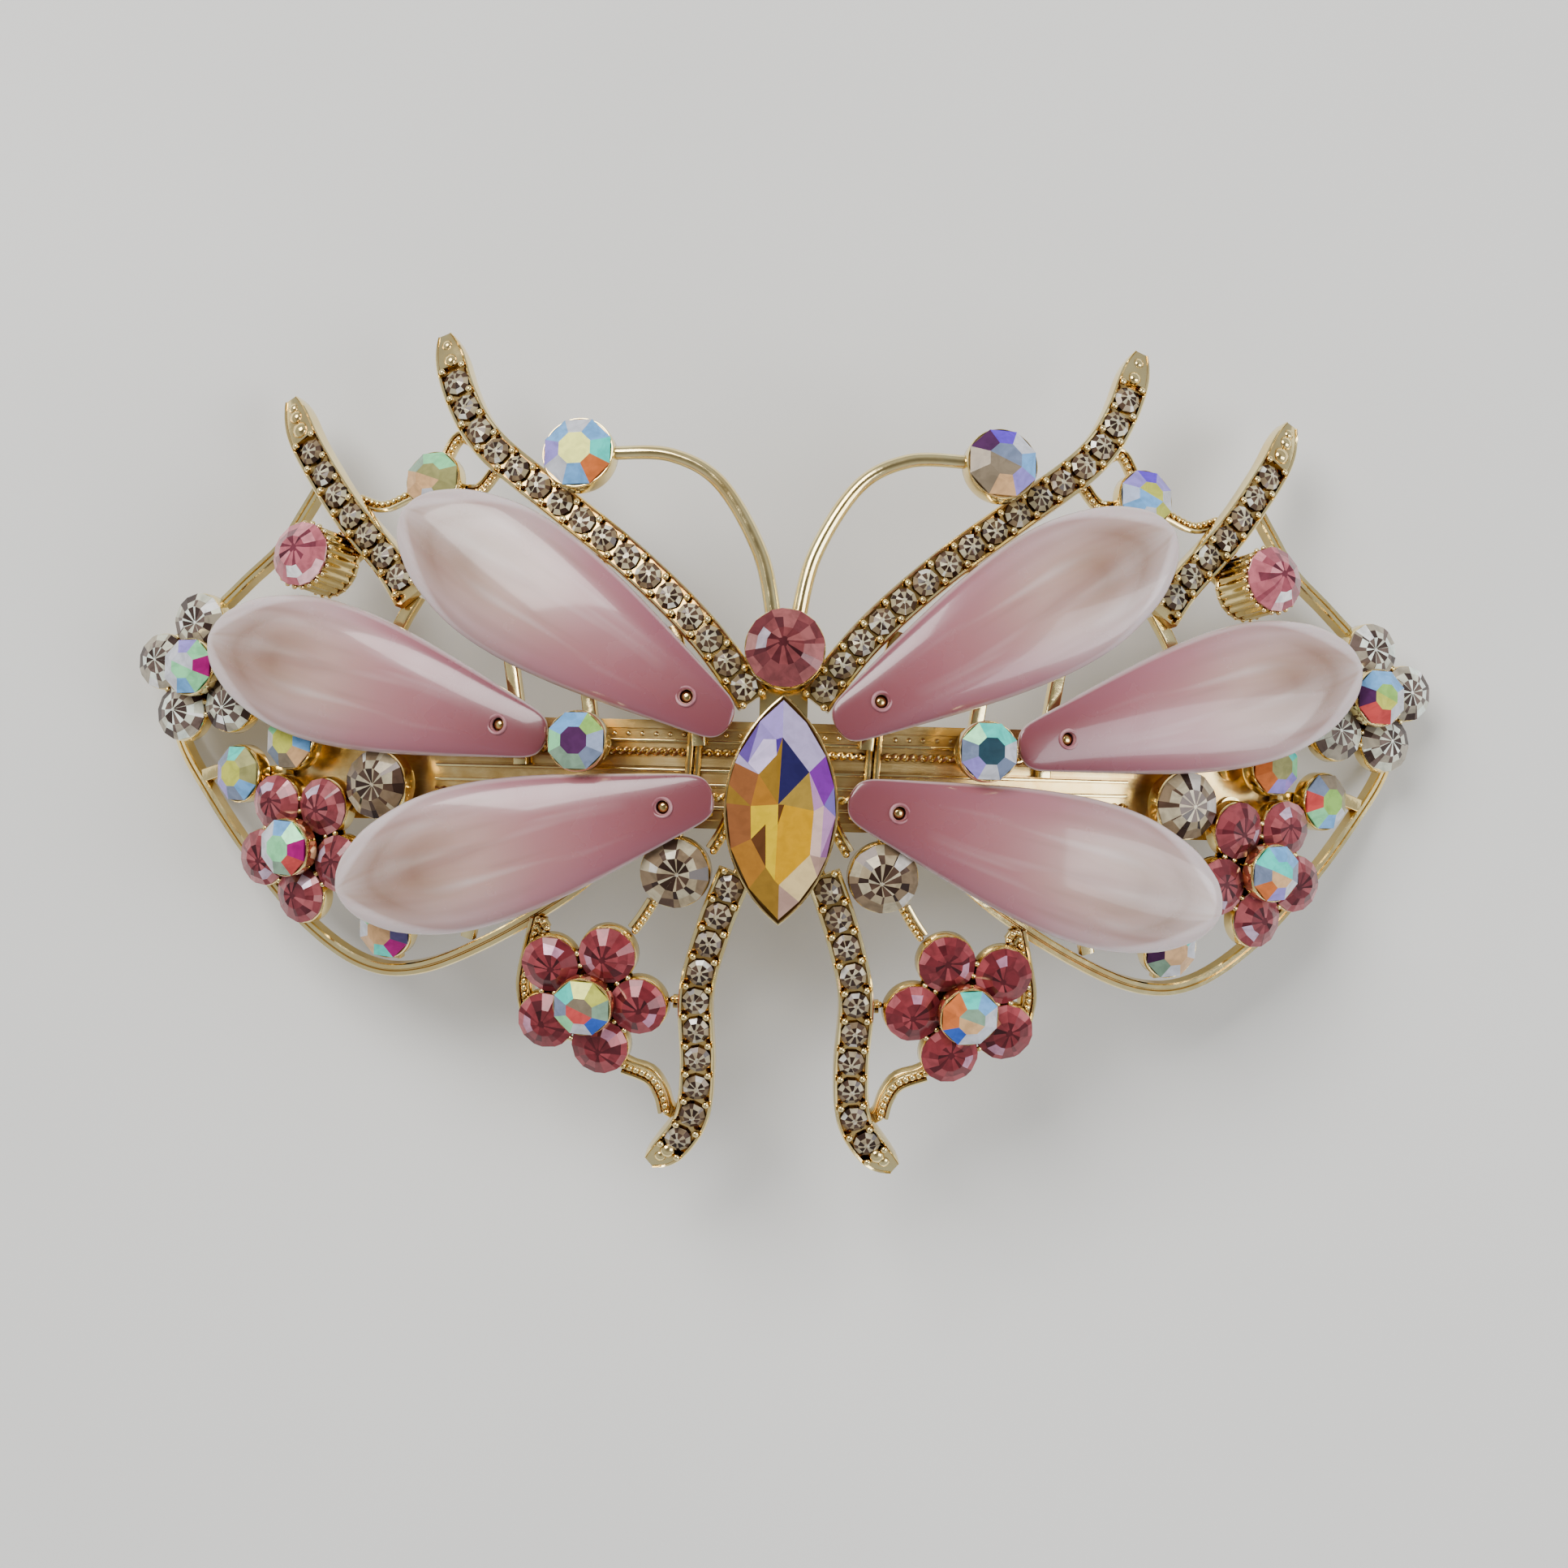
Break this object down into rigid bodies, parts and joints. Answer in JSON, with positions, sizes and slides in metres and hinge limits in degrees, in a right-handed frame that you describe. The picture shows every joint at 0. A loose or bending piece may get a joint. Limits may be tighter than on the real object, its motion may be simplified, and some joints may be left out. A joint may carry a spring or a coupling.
{
  "type": "butterfly hair barrette",
  "caption": "Arched metal hair clip shaped as a butterfly, with translucent petal wings, flowers of round faceted stones, curled antennae and a sprung snap clasp underneath.",
  "frame": {"origin": "under the middle of the object, on the surface it rests on when laid down with its stones upwards", "axes": "+X across the wings from the hinge end to the catch end, +Y towards the antennae, +Z out of the hair, up through the stones"},
  "size_m": [0.1146, 0.0715, 0.0287],
  "materials": {
    "gold_plate": "polished pale gold plate, warm brown in its reflections",
    "spring_steel": "satin plated spring steel",
    "pink_glass": "foil-backed faceted dusky rose glass",
    "clear_glass": "foil-backed faceted clear glass",
    "aurora_glass": "foil-backed faceted glass with a colour-shifting coating",
    "violet_glass": "foil-backed faceted glass, violet turning to amber",
    "petal_resin": "glossy translucent moulded resin, dusky pink at the narrow end and milky at the wide end"
  },
  "bodies": {
    "clip": {"barrette_base": "gold_plate", "hinge_pin": "spring_steel", "catch_bracket": "spring_steel", "catch_rivets": "gold_plate", "body_plate": "gold_plate", "head_cup": "gold_plate", "head_stone": "pink_glass", "navette_cup": "gold_plate", "navette_stone": "violet_glass", "antenna_left": "gold_plate", "antenna_right": "gold_plate", "antenna_stones": "aurora_glass", "inner_arm_left": "gold_plate", "inner_arm_right": "gold_plate", "inner_arm_stones": "clear_glass", "outer_arm_left": "gold_plate", "outer_arm_right": "gold_plate", "outer_arm_stones": "clear_glass", "tail_left": "gold_plate", "tail_right": "gold_plate", "tail_stones": "clear_glass", "wing_rim_left": "gold_plate", "wing_rim_right": "gold_plate", "wing_ties_left": "gold_plate", "wing_ties_right": "gold_plate", "bead_wires_left": "gold_plate", "bead_wires_right": "gold_plate", "rope_links": "gold_plate", "petal_upper_left": "petal_resin", "petal_upper_right": "petal_resin", "petal_middle_left": "petal_resin", "petal_middle_right": "petal_resin", "petal_lower_left": "petal_resin", "petal_lower_right": "petal_resin", "petal_pins": "gold_plate", "tail_flower_cups": "gold_plate", "tail_flower_stones": "pink_glass", "tail_flower_centres": "aurora_glass", "rim_flower_cups": "gold_plate", "rim_flower_stones": "pink_glass", "rim_flower_centres": "aurora_glass", "crystal_flower_cups": "gold_plate", "crystal_flower_stones": "clear_glass", "crystal_flower_centres": "aurora_glass", "aurora_cups": "gold_plate", "aurora_stones": "aurora_glass", "crystal_cups": "gold_plate", "crystal_stones": "clear_glass", "fluted_cups": "gold_plate", "fluted_stones": "pink_glass"},
    "clasp": {"clasp_arm": "gold_plate"},
    "spring_bar": {"tension_bar": "spring_steel"},
    "lever_front": {"catch_lever_front": "spring_steel"},
    "lever_rear": {"catch_lever_rear": "spring_steel"}
  },
  "joints": [
    {"name": "clasp_hinge", "type": "hinge", "parent": "clip", "child": "clasp", "pos_m": [-0.0415, -0.002, 0.0048], "axis": [0, 1, 0], "range_deg": [0, 75]},
    {"name": "bar_press", "type": "slide", "parent": "clip", "child": "spring_bar", "axis": [0, 0, 1], "range_m": [0, 0.002], "stiffness_N_per_m": 500},
    {"name": "lever_front_pinch", "type": "hinge", "parent": "clip", "child": "lever_front", "pos_m": [0.0388, -0.0039, 0.0068], "axis": [1, 0, 0], "range_deg": [0, 8], "stiffness_Nm_per_rad": 0.03},
    {"name": "lever_rear_pinch", "type": "hinge", "parent": "clip", "child": "lever_rear", "pos_m": [0.0388, -0.0001, 0.0068], "axis": [-1, 0, 0], "range_deg": [0, 8], "stiffness_Nm_per_rad": 0.03}
  ]
}
